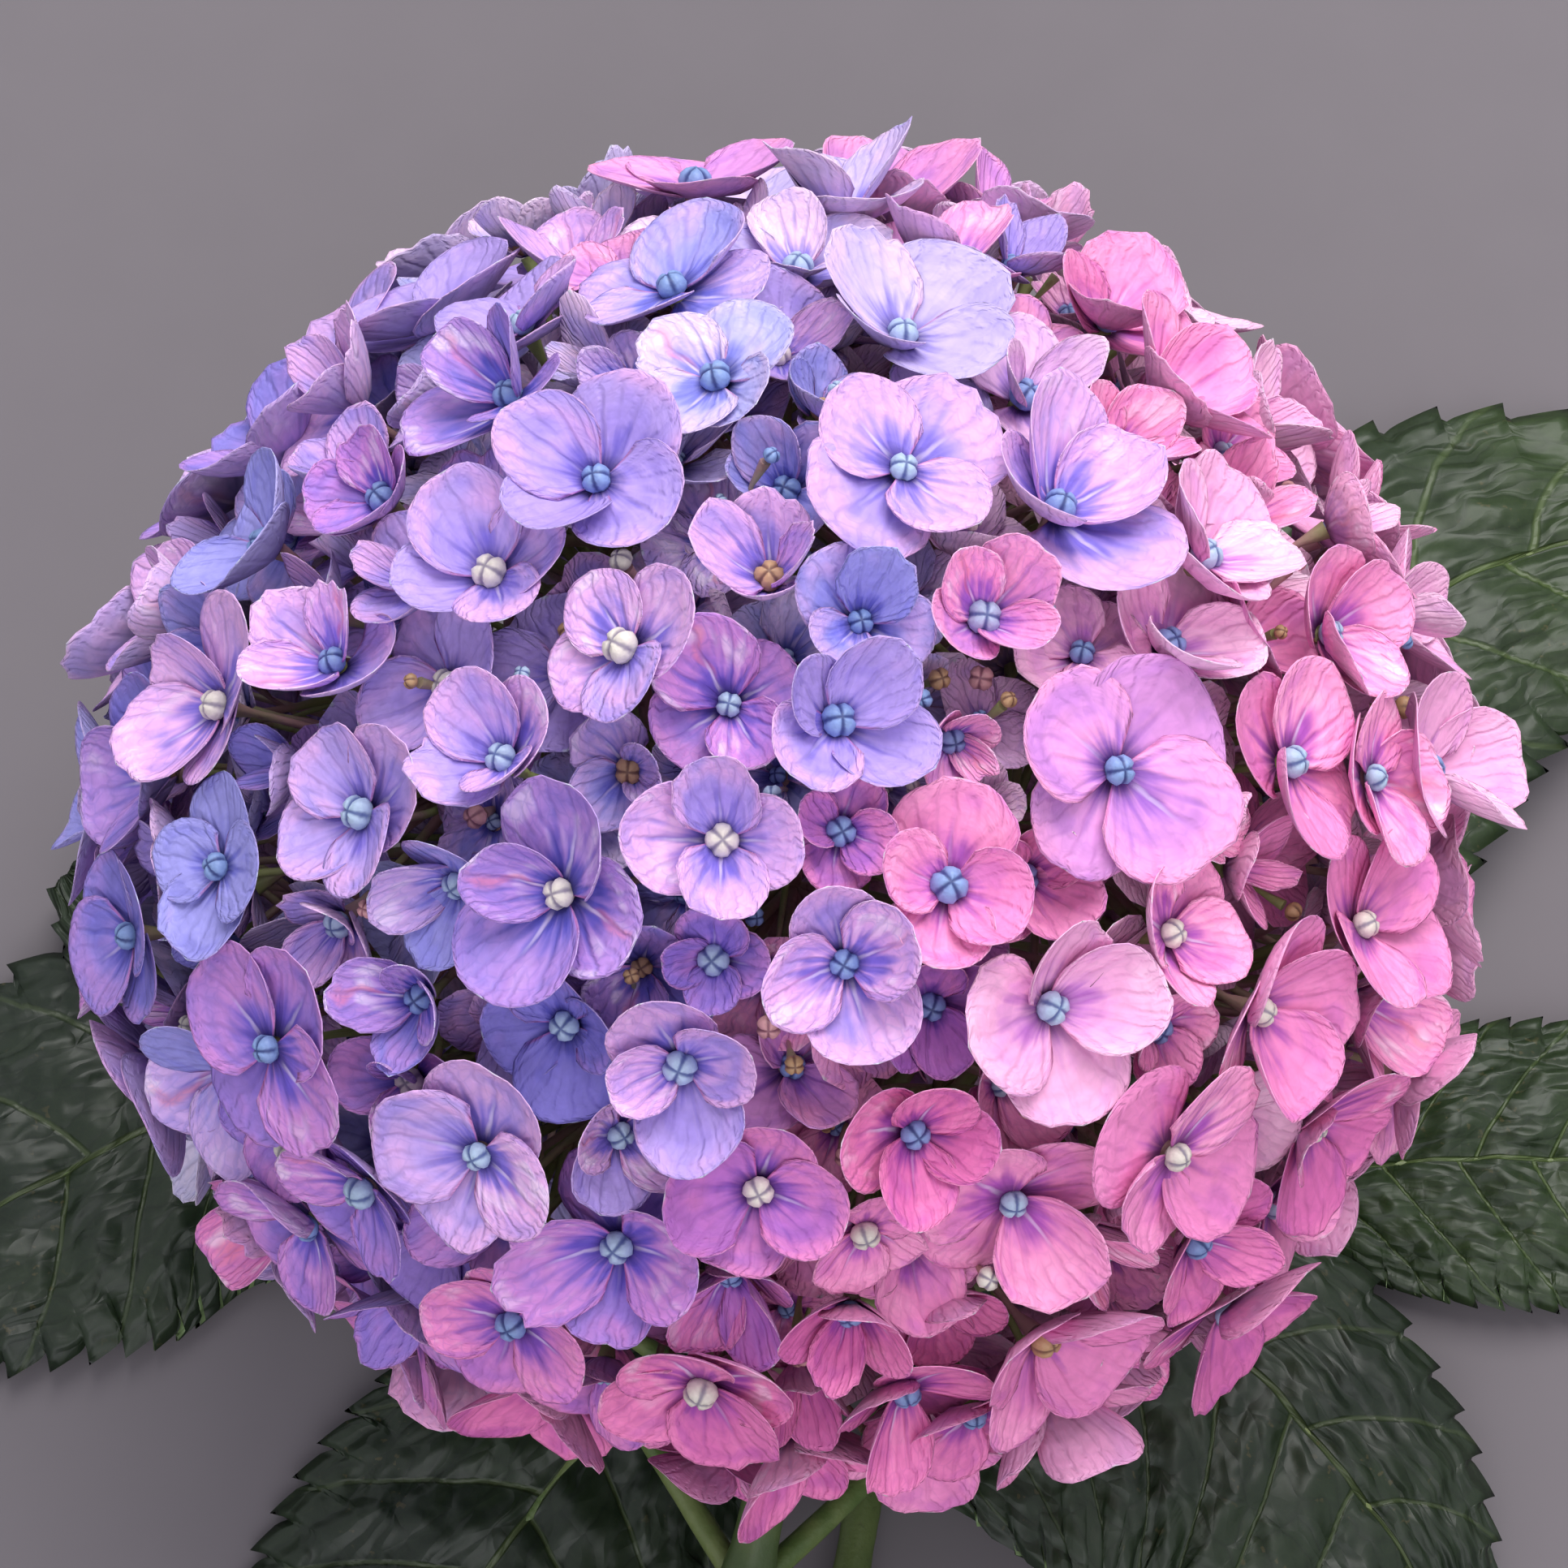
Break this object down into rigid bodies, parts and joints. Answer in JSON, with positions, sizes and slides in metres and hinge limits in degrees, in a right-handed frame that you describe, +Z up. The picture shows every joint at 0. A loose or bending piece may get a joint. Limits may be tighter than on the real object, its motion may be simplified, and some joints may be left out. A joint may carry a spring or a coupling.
{
  "type": "cut flowering shoot of bigleaf hydrangea, lying down",
  "caption": "Cut hydrangea shoot lying on its side: one large round mophead bloom on a forked green stem with toothed leaves.",
  "frame": {"origin": "on the surface that the shoot lies on, under the middle of its bounding box", "axes": "+Z up; +Y from the cut end of the stem towards the bloom; +X to the right when the bloom is at the back"},
  "size_m": [0.3214, 0.3127, 0.1962],
  "materials": {
    "stem": "green young stem",
    "bloom": "soft petals, blue-violet to pink",
    "leaf": "dark green, slightly glossy leaf"
  },
  "bodies": {
    "root": {"main_stem": "stem", "side_stem": "stem", "bloom": "bloom", "leaf_left": "leaf", "leaf_right": "leaf", "leaf_lower_left": "leaf", "leaf_lower_right": "leaf", "leaf_upper_left": "leaf", "leaf_upper_right": "leaf"}
  },
  "joints": []
}
